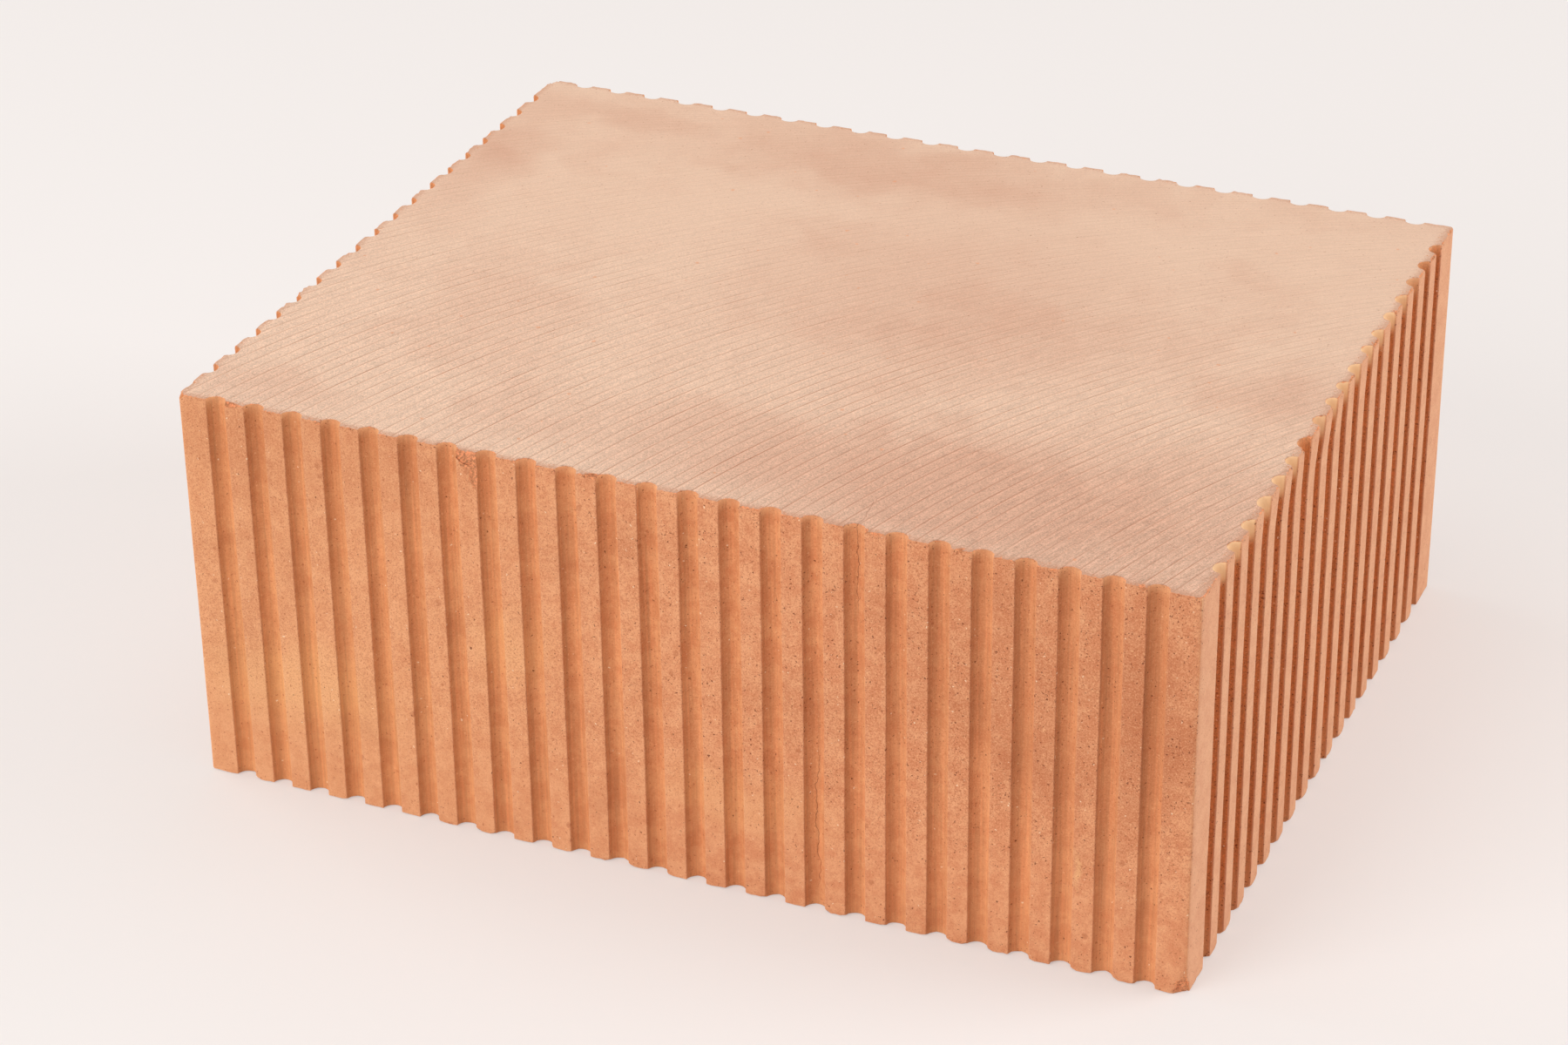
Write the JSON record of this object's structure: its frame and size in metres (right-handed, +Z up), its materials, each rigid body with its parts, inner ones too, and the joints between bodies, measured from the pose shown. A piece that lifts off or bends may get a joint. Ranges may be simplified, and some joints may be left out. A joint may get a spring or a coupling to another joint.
{
  "type": "clay brick",
  "caption": "Solid fired-clay masonry block with half-round vertical keying grooves on every side face and two plain ground beds, to be laid in mortar.",
  "frame": {"origin": "middle of the lower bed, on the floor", "axes": "+X along the long grooved faces, +Y from the front face to the back face, +Z up from bed to bed"},
  "size_m": [0.3, 0.238, 0.124],
  "materials": {
    "fired_clay": "matt unglazed fired clay, orange on the grooved sides and pale beige on the ground beds"
  },
  "bodies": {
    "root": {"clay_brick": "fired_clay"}
  },
  "joints": []
}
